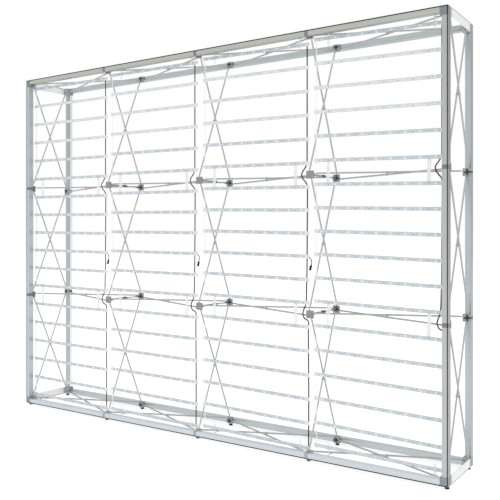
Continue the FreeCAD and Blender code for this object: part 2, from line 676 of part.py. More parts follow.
node("strip_end_holders", holders)
node("curtain_straps", bands)
node("curtain_clips", clips)
node("curtain_hooks", hooks)


# ------------------------------------------------------------- wires and leads
def bent_tube(name, pts, radii, r):
    """A round tube along straight runs joined by tangent arcs."""
    p = [Vector(*q) for q in pts]
    edges = []
    at = p[0]
    for k in range(1, len(p) - 1):
        a = (p[k - 1] - p[k]).normalize()
        b = (p[k + 1] - p[k]).normalize()
        turn = math.pi - a.getAngle(b)
        t = radii[k - 1] * math.tan(turn / 2.0)
        s, e = p[k] + a * t, p[k] + b * t
        bis = (a + b).normalize()
        m = p[k] + bis * (radii[k - 1] / math.cos(turn / 2.0) - radii[k - 1])
        if (s - at).Length > 1e-4:
            edges.append(Part.LineSegment(at, s).toShape())
        edges.append(Part.Arc(s, m, e).toShape())
        at = e
    edges.append(Part.LineSegment(at, p[-1]).toShape())
    path = Part.Wire(edges)
    ring = Part.Wire([Part.Circle(p[0], p[1] - p[0], r).toShape()])
    tube = path.makePipeShell([ring], True, False)
    print(name, "length %.1f" % path.Length, "volume ratio %.4f" % (tube.Volume / (math.pi * r * r * path.Length)),
          "radii", [round(v, 1) for v in radii])
    return tube


def turn_radii(pts):
    p = [Vector(*q) for q in pts]
    out = []
    for k in range(1, len(p) - 1):
        turn = math.pi - (p[k - 1] - p[k]).getAngle(p[k + 1] - p[k])
        short = min((p[k - 1] - p[k]).Length, (p[k + 1] - p[k]).Length)
        out.append(0.45 * short / math.tan(turn / 2.0))
    return out


def beside(pts, radii, off):
    """The route moved sideways in its own plane, parallel to itself."""
    q = [Vector(a[0], a[2], 0) for a in pts]
    out, rr = [], []
    for k in range(len(q)):
        d0 = (q[k] - q[k - 1]).normalize() if k else None
        d1 = (q[k + 1] - q[k]).normalize() if k < len(q) - 1 else None
        n0 = Vector(-d0.y, d0.x, 0) if d0 else None
        n1 = Vector(-d1.y, d1.x, 0) if d1 else None
        if n0 is None or n1 is None:
            m = n1 or n0
            out.append(q[k] + m * off)
        else:
            s = n0 + n1
            m = s * (2.0 / s.dot(s)) if s.dot(s) > 1e-9 else n0
            out.append(q[k] + m * off)
            left = d0.x * d1.y - d0.y * d1.x > 0
            rr.append(radii[k - 1] - off if left else radii[k - 1] + off)
    return [(v.x, a[1], v.y) for v, a in zip(out, pts)], rr


WIRE_Y = -137.4
# offsets from the column line on the right of a curtain, with bend radii and
# how far the pair comes forward to pass in front of a level rod
route = [(-24.0, rowz[3] - 44, 0, 0), (-24.5, rowz[2] + 64, 60, 0), (-33.0, rowz[2] + 42, 40, 0.4), (-56.0, rowz[2] + 8, 22, 5.5),
         (-50.0, rowz[2] - 16, 30, 5.5), (-27.0, rowz[2] - 44, 30, 0.4), (-22.0, rowz[2] - 64, 50, 0), (-25.0, rowz[1] + 230, 900, 0),
         (-29.0, rowz[1] + 74, 200, 0), (-33.0, rowz[1] + 46, 40, 0.2), (-42.0, rowz[1] + 14, 24, 10), (-44.5, rowz[1] - 2, 16, 11),
         (-36.0, rowz[1] - 23, 14, 11), (-17.0, rowz[1] - 35, 10, 3), (-15.0, rowz[1] - 47, 12, 0), (-17.0, rowz[1] - 96, 200, 0),
         (-14.5, rowz[0] + 300, 900, 0), (-15.5, rowz[0] + 36, 0, 0)]
SWAY = [17.0, 20.0, 1.0, 9.0]
reds, blacks = [], []
for i in range(COLS):
    cx = colx[i + 1] - SWAY[i]
    pts = [(cx + a, WIRE_Y - f, z) for a, z, r, f in route]
    rad = [r for a, z, r, f in route[1:-1]]
    pa, ra = beside(pts, rad, val(wire_gap))
    pb, rb = beside(pts, rad, -val(wire_gap))
    reds.append(bent_tube("red %d" % i, pa, ra, val(wire_r)))
    blacks.append(bent_tube("black %d" % i, pb, rb, val(wire_r)))
node("curtain_wires_red", reds)
node("curtain_wires_black", blacks)

# short lead out of a strip end, hanging free, with its plug
LEADS = [[(-13.0, -142.0, -5.0), (-3.5, -142.6, -10.0), (2.0, -143.8, -19.5), (3.5, -144.6, -31.5), (1.0, -145.0, -42.0)],
         [(-13.0, -142.0, -5.0), (-4.0, -142.8, -10.5), (0.8, -144.4, -20.0), (1.8, -145.4, -31.0), (-0.4, -145.8, -41.0)],
         [(-13.0, -142.0, -5.0), (-3.4, -142.4, -9.6), (2.6, -143.2, -18.6), (4.4, -143.8, -30.4), (1.6, -144.0, -41.4)],
         [(-13.0, -142.0, -5.0), (-3.8, -142.6, -10.2), (1.4, -144.0, -19.8), (2.6, -144.9, -31.2), (0.4, -145.3, -41.6)]]
lead_z = rowz[1] + pitch * 2.5
plug = cut("plug_master", fuse("plug_whole", [
    rod("plug_boot", "z", 0, 0, 0, 3.8, 7),
    shell("plug_body", -5.5, 5.5, -4.2, 4.2, 6, 32, 0.8),
    box("plug_key", -1.6, 1.6, 3.8, 5, 10, 24)]), [
    box("plug_mouth", -4.2, 4.2, -2.9, 2.9, 26, 33)])
doc.recompute()
plugs = []
for i in range(COLS):
    cx, cz = colx[i + 1] + HANG[i] + 4, lead_z + LIFT[i] - TILT[i] / 2.0
    pts = [(cx + a, y, cz + z) for a, y, z in LEADS[i]]
    node("led_lead_%d" % (i + 1), [bent_tube("lead %d" % i, pts, turn_radii(pts), val(lead_r))])
    end, last = Vector(*pts[-1]), Vector(*pts[-1]) - Vector(*pts[-2])
    ez = last.normalize()
    ex = Vector(0, 1, 0).cross(ez).normalize()
    plugs.append(placed(plug.Shape, frame_of(ex, ez, (end.x, end.y, end.z))))
node("lead_plugs", plugs)

# ---------------------------------------------------------------------- output
doc.recompute()
bad = []
for o in doc.Objects:
    if "Invalid" in o.State or "Error" in o.State:
        bad.append(o.Name)
for f in nodes:
    if f.Shape.isNull() or not f.Shape.isValid() or any(s.Volume <= 0 for s in f.Shape.Solids):
        bad.append(f.Label)
if bad:
    raise RuntimeError("failed: " + ", ".join(bad))
os.makedirs("parts", exist_ok=True)
total = 0.0
for f in nodes:
    f.Shape.exportStep("parts/%s.step" % f.Label)
    total += f.Shape.Volume
print(len(nodes), "nodes", sum(len(f.Shape.Solids) for f in nodes), "solids", "volume %.0f cm3" % (total / 1000.0))
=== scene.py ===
import math

import bmesh
import bpy
from mathutils import Matrix, Vector


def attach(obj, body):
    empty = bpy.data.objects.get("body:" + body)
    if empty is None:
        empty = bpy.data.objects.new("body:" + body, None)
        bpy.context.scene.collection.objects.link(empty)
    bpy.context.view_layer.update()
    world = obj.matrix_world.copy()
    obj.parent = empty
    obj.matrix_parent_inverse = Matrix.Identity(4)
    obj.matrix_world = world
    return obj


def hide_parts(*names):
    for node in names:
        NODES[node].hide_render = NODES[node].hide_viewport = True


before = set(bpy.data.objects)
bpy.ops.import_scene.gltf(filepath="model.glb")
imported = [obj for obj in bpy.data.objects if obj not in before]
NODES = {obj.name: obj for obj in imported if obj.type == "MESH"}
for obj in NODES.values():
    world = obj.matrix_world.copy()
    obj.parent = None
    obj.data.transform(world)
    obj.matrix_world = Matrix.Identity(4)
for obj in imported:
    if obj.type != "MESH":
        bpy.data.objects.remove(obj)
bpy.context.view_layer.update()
scene = bpy.context.scene

# ------------------------------------------------------------------ dimensions
COLX = [-1.462, -0.731, 0.0, 0.731, 1.462]
ROWZ = [0.030, 0.761, 1.492, 2.223]
PITCH = 0.731 / 6.0
STRIP_FRONT = -0.143
STRIP_SPAN = 0.731 - 0.024 - 0.011
LENS_PITCH = 0.076
LENS_N = 9
LENS_MID = 0.372
# how each curtain hangs: sideways, up, and left end above right end
HANG = [-0.011, -0.011, -0.002, -0.0025]
LIFT = [-0.001, 0.003, 0.0045, -0.0005]
TILT = [0.007, 0.007, 0.014, 0.020]
LOWEST, TOPMOST, LOW_TILT = [0.0375, 0.035, 0.0335, 0.046], [0.044, 0.038, 0.038, 0.038], [0.007, 0.007, 0.014, 0.010]


def strip_heights(i):
    """Height of each strip's middle in one curtain, with its own slant."""
    out = [(ROWZ[0] + LOWEST[i], LOW_TILT[i])]
    out += [(ROWZ[1] - PITCH / 2 - 0.0057 - (PITCH + 0.0045) * (5 - k) + LIFT[i], TILT[i]) for k in range(1, 6)]
    out += [(ROWZ[1] + PITCH * (k + 0.5) + LIFT[i], TILT[i]) for k in range(6)]
    out += [(ROWZ[2] + PITCH / 2 + 0.0028 + (PITCH + 0.0041) * k + LIFT[i], TILT[i]) for k in range(5)]
    return out + [(ROWZ[3] - TOPMOST[i], TILT[i])]


def hung(i, z, slant):
    """Gives the X and Z of a point u along a strip and v above its middle."""
    turn = math.atan2(slant, STRIP_SPAN)
    c, n, x0 = math.cos(turn), math.sin(turn), COLX[i] + HANG[i] + LENS_MID
    return lambda u, v: (x0 + (u - LENS_MID) * c + v * n, z - (u - LENS_MID) * n + v * c)


# ------------------------------------------------------------- node tree helper
class Tree:
    """Short-hand for building one material's nodes."""

    def __init__(self, name):
        self.mat = bpy.data.materials.new(name)
        self.mat.use_nodes = True
        self.nt = self.mat.node_tree
        self.nt.nodes.clear()
        self.out = self.nt.nodes.new("ShaderNodeOutputMaterial")
        self.bsdf = self.nt.nodes.new("ShaderNodeBsdfPrincipled")
        self.nt.links.new(self.bsdf.outputs[0], self.out.inputs[0])
        self.coord = self.nt.nodes.new("ShaderNodeTexCoord")

    def link(self, a, b):
        self.nt.links.new(a, b)

    def put(self, socket, value):
        if isinstance(value, bpy.types.NodeSocket):
            self.link(value, socket)
        else:
            socket.default_value = value

    def at(self, scale, shift=(0, 0, 0)):
        m = self.nt.nodes.new("ShaderNodeMapping")
        m.inputs["Scale"].default_value = scale
        m.inputs["Location"].default_value = shift
        self.link(self.coord.outputs["Object"], m.inputs["Vector"])
        return m.outputs[0]

    def noise(self, vector, scale, detail=3.0, rough=0.55):
        n = self.nt.nodes.new("ShaderNodeTexNoise")
        n.inputs["Scale"].default_value = scale
        n.inputs["Detail"].default_value = detail
        n.inputs["Roughness"].default_value = rough
        self.link(vector, n.inputs["Vector"])
        return n.outputs["Fac"]

    def math(self, op, a, b=0.0, clamp=False):
        m = self.nt.nodes.new("ShaderNodeMath")
        m.operation = op
        m.use_clamp = clamp
        self.put(m.inputs[0], a)
        self.put(m.inputs[1], b)
        return m.outputs[0]

    def ramp(self, fac, stops):
        r = self.nt.nodes.new("ShaderNodeValToRGB")
        el = r.color_ramp.elements
        while len(el) > 1:
            el.remove(el[-1])
        el[0].position, el[0].color = stops[0][0], (*stops[0][1], 1)
        for p, c in stops[1:]:
            e = el.new(p)
            e.color = (*c, 1)
        self.link(fac, r.inputs[0])
        return r.outputs[0]

    def span(self, fac, lo, hi, out_lo, out_hi):
        m = self.nt.nodes.new("ShaderNodeMapRange")
        self.put(m.inputs[0], fac)
        for k, v in enumerate((lo, hi, out_lo, out_hi)):
            m.inputs[k + 1].default_value = v
        return m.outputs[0]

    def mix(self, fac, a, b, mode="MIX"):
        m = self.nt.nodes.new("ShaderNodeMix")
        m.data_type = "RGBA"
        m.blend_type = mode
        self.put(m.inputs[0], fac)
        for s, v in ((m.inputs[6], a), (m.inputs[7], b)):
            self.put(s, v if isinstance(v, bpy.types.NodeSocket) else (*v, 1))
        return m.outputs[2]

    def edge(self, radius, gain=6.0):
        """Soft edge: rounds the shading and gives 1 on edges, 0 on flats."""
        b = self.nt.nodes.new("ShaderNodeBevel")
        b.samples = 6
        b.inputs["Radius"].default_value = radius
        self.soft = b.outputs[0]
        g = self.nt.nodes.new("ShaderNodeNewGeometry")
        d = self.nt.nodes.new("ShaderNodeVectorMath")
        d.operation = "DOT_PRODUCT"
        self.link(b.outputs[0], d.inputs[0])
        self.link(g.outputs["Normal"], d.inputs[1])
        return self.math("MULTIPLY", self.math("SUBTRACT", 1.0, d.outputs["Value"]), gain, clamp=True)

    def axes(self):
        """The three coordinates of the point, in metres."""
        n = self.nt.nodes.new("ShaderNodeSeparateXYZ")
        self.link(self.coord.outputs["Object"], n.inputs[0])
        return n.outputs

    def near(self, value, centre, width):
        return self.math("LESS_THAN", self.math("ABSOLUTE", self.math("SUBTRACT", value, centre)), width)

    def groove(self):
        """1 on the walls and floor of the edging groove, 0 elsewhere."""
        x, y, z = self.axes()[:3]
        deep = self.math("GREATER_THAN", self.math("ABSOLUTE", y), 0.1805)
        side = self.near(self.math("ABSOLUTE", x), 1.47325, 0.0024)
        level = self.math("MAXIMUM", self.near(z, 2.23425, 0.0024), self.near(z, 0.01875, 0.0024))
        return self.math("MULTIPLY", deep, self.math("MAXIMUM", side, level))

    def from_line(self, value, first):
        """Distance of a coordinate from the nearest line of hubs."""
        n = self.math("DIVIDE", self.math("SUBTRACT", value, first), 0.731)
        f = self.math("SUBTRACT", self.math("FRACT", self.math("ADD", n, 0.5)), 0.5)
        return self.math("MULTIPLY", self.math("ABSOLUTE", f), 0.731)

    def star(self, half, reach):
        """1 on the cross of slots in the middle of a hub, 0 elsewhere."""
        x, y, z = self.axes()[:3]
        u, v = self.from_line(x, 0.0), self.from_line(z, 0.030)
        narrow = self.math("LESS_THAN", self.math("MINIMUM", u, v), half)
        return self.math("MULTIPLY", narrow, self.math("LESS_THAN", self.math("MAXIMUM", u, v), reach))

    def under(self):
        """1 on faces that look down, 0 elsewhere."""
        g = self.nt.nodes.new("ShaderNodeNewGeometry")
        n = self.nt.nodes.new("ShaderNodeSeparateXYZ")
        self.link(g.outputs["Normal"], n.inputs[0])
        return self.math("LESS_THAN", n.outputs["Z"], -0.7)

    def over(self):
        """1 on faces that look up, 0 elsewhere."""
        g = self.nt.nodes.new("ShaderNodeNewGeometry")
        n = self.nt.nodes.new("ShaderNodeSeparateXYZ")
        self.link(g.outputs["Normal"], n.inputs[0])
        return self.math("GREATER_THAN", n.outputs["Z"], 0.7)

    def sideways(self, inner=False):
        """1 on the outer end faces of the wall, or on the inner ones; 0 elsewhere."""
        g = self.nt.nodes.new("ShaderNodeNewGeometry")
        n = self.nt.nodes.new("ShaderNodeSeparateXYZ")
        self.link(g.outputs["Normal"], n.inputs[0])
        at = self.math("LESS_THAN" if inner else "GREATER_THAN", self.math("ABSOLUTE", self.axes()[0]), 1.45 if inner else 1.47)
        return self.math("MULTIPLY", at, self.math("GREATER_THAN", self.math("ABSOLUTE", n.outputs["X"]), 0.7))

    def bump(self, height, strength, distance):
        b = self.nt.nodes.new("ShaderNodeBump")
        if getattr(self, "soft", None) is not None:
            self.link(self.soft, b.inputs["Normal"])
        b.inputs["Strength"].default_value = strength
        b.inputs["Distance"].default_value = distance
        self.link(height, b.inputs["Height"])
        self.link(b.outputs[0], self.bsdf.inputs["Normal"])

    def set(self, **values):
        names = {"color": "Base Color", "rough": "Roughness", "metal": "Metallic", "ior": "IOR",
                 "spec": "Specular IOR Level", "trans": "Transmission Weight", "coat": "Coat Weight",
                 "coat_rough": "Coat Roughness", "alpha": "Alpha", "sub": "Subsurface Weight"}
        for k, v in values.items():
            s = self.bsdf.inputs[names[k]]
            if k == "color" and not isinstance(v, bpy.types.NodeSocket):
                v = (*v, 1)
            self.put(s, v)
        return self


def tint(c, f):
    return tuple(min(1.0, v * f) for v in c)


# -------------------------------------------------------------------- materials
def aluminium(name, base, along, rough=0.36, edge=0.0, rim_tone=1.18, channel=False, right=None, inner=None,
              above=None, groove_shade=0.07):
    """Anodised extrusion: die lines and faint streaks along one axis. On channels it also paints shade on faces that
    look down, on the outer faces of the uprights and in the groove, paints light on faces that look up and on the
    inner faces of the rear uprights, and tints the right half: painted shade on the front uprights, painted light on
    the rear ones.
    """
    t = Tree(name)
    fine = [900.0, 900.0, 900.0]
    wide = [60.0, 60.0, 60.0]
    if along is not None:
        fine[along] = 3.0
        wide[along] = 1.2
    lines = t.noise(t.at(fine), 1.0, 2.0)
    streak = t.noise(t.at(wide, (3.1, 1.7, 0.4)), 1.0, 3.0)
    smudge = t.noise(t.at((7, 7, 7), (0.3, 2.0, 5.0)), 1.0, 4.0)
    tone = t.math("ADD", t.math("MULTIPLY", lines, 0.35), t.math("MULTIPLY", streak, 0.65))
    col = t.ramp(tone, [(0.25, tint(base, 0.93)), (0.5, base), (0.75, tint(base, 1.06))])
    col = t.mix(t.span(smudge, 0.35, 0.75, 0.0, 0.35), col, tint(base, 0.92))
    # lighter edges: partly painted highlight, partly rubbed wear
    if edge:
        rim = t.math("MULTIPLY", t.edge(edge), t.span(smudge, 0.3, 0.7, 0.35, 0.9))
        col = t.mix(rim, col, tint(base, rim_tone))
    if channel:
        # painted shade: faces that look down are darkened to 0.70 of the base
        col = t.mix(t.math("MULTIPLY", t.under(), 0.85), col, tint(base, 0.70))
        # painted shade: the outer end faces of the uprights are darkened to 0.68 of the base
        if along == 2:
            col = t.mix(t.math("MULTIPLY", t.sideways(), 0.85), col, tint(base, 0.68))
        # painted light and shade: the right half is tinted by the given colour, darker and warmer on the front
        # uprights (painted shade), lighter on the rear uprights (painted light)
        if right:
            col = t.mix(t.math("GREATER_THAN", t.axes()[0], 0.0), col, right, "MULTIPLY")
        # painted light: faces that look up are lightened by the given factor
        if above:
            col = t.mix(t.math("MULTIPLY", t.over(), 0.9), col, tint(base, above))
        # painted reflection: the inner end faces of the rear uprights are turned pale
        if inner:
            back = t.math("GREATER_THAN", t.math("ABSOLUTE", t.axes()[1]), 0.174)
            col = t.mix(t.math("MULTIPLY", t.math("MULTIPLY", t.sideways(True), back), 0.85), col, inner)
        # painted shade in the groove: its walls and floor are darkened to a fraction of the base
        col = t.mix(t.groove(), col, tint(base, groove_shade))
    t.set(color=col, metal=1.0, rough=t.math("ADD", t.span(lines, 0.2, 0.8, rough - 0.05, rough + 0.05),
                                             t.span(smudge, 0.3, 0.8, -0.02, 0.06)))
    t.bump(lines, 0.12, 0.0002)
    return t.mat


def plastic(name, base, rough=0.5, grain=2600.0, depth=0.25, vary=0.12, spec=0.45, edge=0.0, rim_tone=1.5, channel=False, border=None,
            slots=False, latch=False, floor_lit_tone=None, inner=None, rows=False):
    """Moulded plastic: fine spark-eroded grain and slow colour drift. Options add edges of another tone (lighter
    edges are partly painted highlight, partly rubbed wear), painted shade in the groove and in the hub slots, and
    painted light from the floor on low parts.
    """
    t = Tree(name)
    g = t.noise(t.at((1, 1, 1)), grain, 2.0)
    drift = t.noise(t.at((1, 1, 1), (4.0, 1.0, 2.0)), 55.0, 3.0)
    col = t.ramp(drift, [(0.3, tint(base, 1 - vary)), (0.55, base), (0.8, tint(base, 1 + vary))])
    col = t.mix(t.span(g, 0.35, 0.7, 0.0, 0.22), col, tint(base, 0.8))
    # edges toned by rim_tone: lighter ones are partly painted highlight, partly rubbed wear
    if edge:
        rim = t.math("MULTIPLY", t.edge(edge), t.span(drift, 0.3, 0.7, 0.3, 0.8))
        col = t.mix(rim, col, tint(base, rim_tone))
    # painted shade in the groove of hubs and corner blocks
    if channel:
        col = t.mix(t.groove(), col, tint(base, 0.3))
    # painted light from the bright floor: parts below 0.3 m are tinted toward a paler, cooler tone
    if floor_lit_tone:
        col = t.mix(t.math("MULTIPLY", t.math("LESS_THAN", t.axes()[2], 0.3), 0.5), col, floor_lit_tone)
    if inner:
        body = t.math("LESS_THAN", t.math("ABSOLUTE", t.axes()[1]), 0.1588)
        if rows:
            body = t.math("MULTIPLY", body, t.math("LESS_THAN", t.math("ABSOLUTE", t.axes()[0]), 1.3))
        col = t.mix(body, col, inner)
    # painted shade in the slots: a dark cross is painted over the middle of the hub
    if slots:
        col = t.mix(t.star(0.0048, 0.0165), col, tint(base, 0.07))
    if latch:
        col = t.mix(t.near(t.axes()[1], 0.0, 0.022), col, tint(base, 0.33))
    if border:
        z = t.axes()[2]
        for c in border:
            col = t.mix(t.near(z, c, 0.0026), col, tint(base, 0.30))
    t.set(color=col, rough=t.span(g, 0.3, 0.7, rough - 0.06, rough + 0.08))
    t.bsdf.inputs["Specular IOR Level"].default_value = spec
    t.bump(g, depth, 0.0002)
    return t.mat


def clear(name, base, trans, rough, grain=900.0, alpha=1.0):
    """Milky clear moulding: part light through, part scattered, faint flow lines."""
    t = Tree(name)
    flow = t.noise(t.at((30, 30, 9), (1.0, 0.2, 3.0)), 1.0, 3.0)
    g = t.noise(t.at((1, 1, 1)), grain, 2.0)
    col = t.ramp(flow, [(0.3, tint(base, 0.96)), (0.6, base), (0.85, tint(base, 1.03))])
    t.set(color=col, rough=t.span(g, 0.3, 0.7, rough - 0.04, rough + 0.06))
    t.bsdf.inputs["Transmission Weight"].default_value = trans
    t.bsdf.inputs["Alpha"].default_value = alpha
    t.bsdf.inputs["IOR"].default_value = 1.45
    t.bump(flow, 0.08, 0.0004)
    return t.mat


def board(name, left):
    """Light board: cool solder mask, paler round each light, with faint print; the boards in the top bay and near the
    floor are paled as painted light.
    """
    t = Tree(name)
    x = t.axes()[0]
    u = t.math("FRACT", t.math("DIVIDE", t.math("SUBTRACT", x, left), LENS_PITCH))
    mid = t.math("ABSOLUTE", t.math("SUBTRACT", u, 0.5))
    dash = t.span(mid, 0.36, 0.45, 1.0, 0.0)
    mask = t.noise(t.at((60, 60, 60)), 1.0, 3.0)
    cloud = t.noise(t.at((11, 40, 9), (2.0, 0.0, 1.0)), 1.0, 2.0)
    pale, cool = (0.66, 0.705, 0.75), (0.585, 0.635, 0.68)
    col = t.mix(dash, pale, cool)
    z = t.axes()[2]
    # painted light: boards in the top bay are paled
    top_bay_painted_light = t.math("MULTIPLY", t.span(z, 1.70, 1.78, 0.0, 0.62), t.span(z, 2.12, 2.16, 1.0, 0.0))
    col = t.mix(top_bay_painted_light, col, (0.86, 0.88, 0.90))
    # painted light: boards near the floor are paled
    col = t.mix(t.span(z, 0.09, 0.13, 0.55, 0.0), col, (0.86, 0.88, 0.90))
    col = t.mix(t.span(mask, 0.35, 0.75, 0.0, 0.3), col, tint(cool, 1.15))
    col = t.mix(t.span(cloud, 0.45, 0.7, 0.0, 0.30), col, tint(cool, 0.86))
    t.set(color=col, rough=t.span(mask, 0.3, 0.7, 0.28, 0.42))
    t.bump(mask, 0.1, 0.0002)
    return t.mat


M = {
    # painted light and shade: all channels are one anodised extrusion, split into copies toned by place. The top bars
    # are darker and warmer (painted shade), the low bars lighter and cooler (painted light), the rear uprights
    # darkest (painted shade); the up-face, right-half and inner-face tints below add more painted light and shade.
    "alu_top": aluminium("channel_top_shaded", (0.535, 0.545, 0.512), 0, 0.36, 0.0006, channel=True, groove_shade=0.2),
    "alu_low": aluminium("channel_low_lit", (0.615, 0.65, 0.675), 0, 0.36, 0.0006, channel=True, above=1.42),
    "alu_side": aluminium("channel_upright", (0.52, 0.575, 0.60), 2, 0.36, 0.0006, channel=True, right=(0.945, 0.888, 0.866)),
    "alu_rear_x": aluminium("channel_rear_level", (0.525, 0.57, 0.585), 0, 0.36, 0.0006, channel=True, above=1.25),
    "alu_rear_z": aluminium("channel_rear_upright", (0.455, 0.487, 0.50), 2, 0.36, 0.0006, channel=True,
                            right=(1.2, 1.216, 1.226), inner=(0.93, 0.94, 0.945)),
    # painted light: the rising rods are the same tube as the other rods, given a lighter tone
    "rod_up": aluminium("rod_tube_rising_lit", (0.57, 0.575, 0.58), None, 0.38, 0.0005),
    "rod": aluminium("rod_tube", (0.46, 0.465, 0.47), None, 0.38, 0.0005),
    "steel": aluminium("fastener", (0.58, 0.59, 0.60), None, 0.3, 0.0003),
    "hub": plastic("hub_grey", (0.268, 0.286, 0.302), 0.46, edge=0.0009),
    "hub_rear": plastic("hub_dark", (0.335, 0.347, 0.365), 0.44, edge=0.0009, slots=True),
    "hub_rear_edge": plastic("hub_rear_edge_grey", (0.345, 0.36, 0.375), 0.45, edge=0.0009, channel=True, slots=True),
    # the low tones on the edge hubs and corner blocks below are painted light from the bright floor
    "hub_edge": plastic("hub_edge_grey", (0.20, 0.213, 0.225), 0.46, edge=0.0009, channel=True,
                        floor_lit_tone=(0.58, 0.62, 0.70), inner=(0.60, 0.62, 0.64), rows=True),
    "corner": plastic("corner_grey", (0.225, 0.242, 0.262), 0.45, edge=0.0009, channel=True,
                      floor_lit_tone=(0.30, 0.33, 0.41), inner=(0.52, 0.54, 0.56)),
    "corner_rear": plastic("corner_rear_grey", (0.31, 0.322, 0.335), 0.45, edge=0.0009, channel=True, inner=(0.40, 0.415, 0.43)),
    "arm": plastic("arm_grey", (0.295, 0.312, 0.345), 0.4, edge=0.0007, latch=True),
    "panel": plastic("panel_white", (0.88, 0.89, 0.90), 0.38, 700.0, 0.15, 0.02, 0.5, 0.0012, 0.62, border=(2.2359, 0.0171)),
    "foot": plastic("foot_black", (0.018, 0.018, 0.019), 0.62, 1400.0, 0.4, 0.2, 0.35, 0.0006),
    "holder": clear("holder_milky", (0.84, 0.85, 0.865), 0.12, 0.3),
    "clip": clear("clip_clear", (0.95, 0.955, 0.96), 0.2, 0.2, alpha=0.7),
    "hook": clear("hook_clear", (0.95, 0.955, 0.96), 0.2, 0.2, alpha=0.42),
    "strap": clear("strap_milky", (0.95, 0.955, 0.96), 0.15, 0.35, alpha=0.45),
    "lens": clear("lens_clear", (0.84, 0.86, 0.88), 0.1, 0.12),
    "red": plastic("wire_red", (0.12, 0.029, 0.027), 0.42, 1800.0, 0.1, 0.15, 0.3),
    "black": plastic("wire_black", (0.015, 0.012, 0.012), 0.42, 1800.0, 0.1, 0.15, 0.3),
    "lead": plastic("lead_grey", (0.10, 0.078, 0.078), 0.42, 1800.0, 0.1, 0.1),
    "plug": plastic("plug_black", (0.008, 0.008, 0.009), 0.4, 2200.0, 0.25, 0.15, edge=0.0003),
    "chip": plastic("chip_dark", (0.30, 0.315, 0.34), 0.35, 3000.0, 0.1, 0.2),
    "solder": aluminium("solder_pad", (0.60, 0.61, 0.62), None, 0.3),
    "rail": plastic("board_rail", (0.42, 0.47, 0.52), 0.35, 3000.0, 0.1, 0.1),
}


def paint(node, *mats):
    o = NODES[node]
    o.data.materials.clear()
    for m in mats:
        o.data.materials.append(m)


for n in NODES:
    if n.endswith("_bars"):
        if n.startswith("rear"):
            paint(n, M["alu_rear_z"] if "side" in n else M["alu_rear_x"])
        else:
            paint(n, M["alu_side"] if "side" in n else M["alu_top"] if "top" in n else M["alu_low"])
    elif n.endswith("_inner_hubs"):
        paint(n, M["hub_rear"] if n.startswith("rear") else M["hub"])
    elif n.endswith("_corner_hubs"):
        paint(n, M["corner_rear"] if n.startswith("rear") else M["corner"])
    elif n.endswith("_hubs"):
        paint(n, M["hub_rear_edge"] if n.startswith("rear") else M["hub_edge"])
    elif "_rods_" in n:
        paint(n, M["rod_up"] if n.endswith("rising") else M["rod"])
    elif n in ("hub_pins", "scissor_rivets", "panel_dowels"):
        paint(n, M["steel"])
    elif n == "end_panels":
        paint(n, M["panel"])
    elif "lock_arm" in n:
        paint(n, M["arm"])
    elif "_foot_" in n:
        paint(n, M["foot"])
    elif n.startswith("led_strips"):
        i = int(n[-1]) - 1
        paint(n, board("board_%d" % (i + 1), COLX[i] + HANG[i] + LENS_MID - 4 * LENS_PITCH))
    elif n == "led_lenses":
        paint(n, M["lens"])
    elif n == "strip_end_holders":
        paint(n, M["holder"])
    elif n == "curtain_straps":
        paint(n, M["strap"])
    elif n == "curtain_clips":
        paint(n, M["clip"])
    elif n == "curtain_hooks":
        paint(n, M["hook"])
    elif n == "curtain_wires_red":
        paint(n, M["red"])
    elif n == "curtain_wires_black":
        paint(n, M["black"])
    elif n == "lead_plugs":
        paint(n, M["plug"])

# ---------------------------------------------------------------- built pieces
def piece(name, verts, faces, mats, which, node=None, smooth=None):
    """A mesh that rides on the frame; which gives each face its material."""
    me = bpy.data.meshes.new(name)
    me.from_pydata(verts, [], faces)
    for m in mats:
        me.materials.append(m)
    if which is not None:
        me.polygons.foreach_set("material_index", which)
    if smooth is not None:
        me.polygons.foreach_set("use_smooth", smooth)
    me.update()
    o = bpy.data.objects.new(name, me)
    scene.collection.objects.link(o)
    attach(o, "frame")
    if node:
        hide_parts(node)
    return o


def loft(rings, start, close_first=True, close_last=True):
    """Quads between rings of equal length; returns points and faces."""
    pts = [v for r in rings for v in r]
    n = len(rings[0])
    faces = []
    for k in range(len(rings) - 1):
        for j in range(n):
            a, b = start + k * n + j, start + k * n + (j + 1) % n
            faces.append((a, b, b + n, a + n))
    if close_first:
        faces.append(tuple(start + j for j in reversed(range(n))))
    if close_last:
        faces.append(tuple(start + (len(rings) - 1) * n + j for j in range(n)))
    return pts, faces


def circle(r, h, n):
    return [(r * math.cos(2 * math.pi * j / n), r * math.sin(2 * math.pi * j / n), h) for j in range(n)]


def rounded(a, b, r, h, per=5):
    """Rounded rectangle of half sizes a and b at height h."""
    out = []
    for q, (cx, cy) in enumerate(((a - r, b - r), (r - a, b - r), (r - a, r - b), (a - r, r - b))):
        for j in range(per):
            t = math.pi / 2 * (q + j / (per - 1.0))
            out.append((cx + r * math.cos(t), cy + r * math.sin(t), h))
    return out


# lens: a flange with a broken edge and a domed cap
LENS_SEG = 16
profile = [(7.5, 0.0), (7.5, 0.85), (7.15, 1.2), (6.35, 1.2), (6.1, 1.55)]
for k in range(1, 4):
    t = math.pi / 2 * k / 4.0
    profile.append((6.1 * math.cos(t), 1.55 + 1.9 * math.sin(t)))
lens_rings = [circle(r / 1000.0, h / 1000.0, LENS_SEG) for r, h in profile]
lens_rings.append(circle(0.0005, 0.00345, LENS_SEG))
lens_pts, lens_faces = loft(lens_rings, 0)
verts, faces = [], []
chips, chip_faces, chip_mat = [], [], []


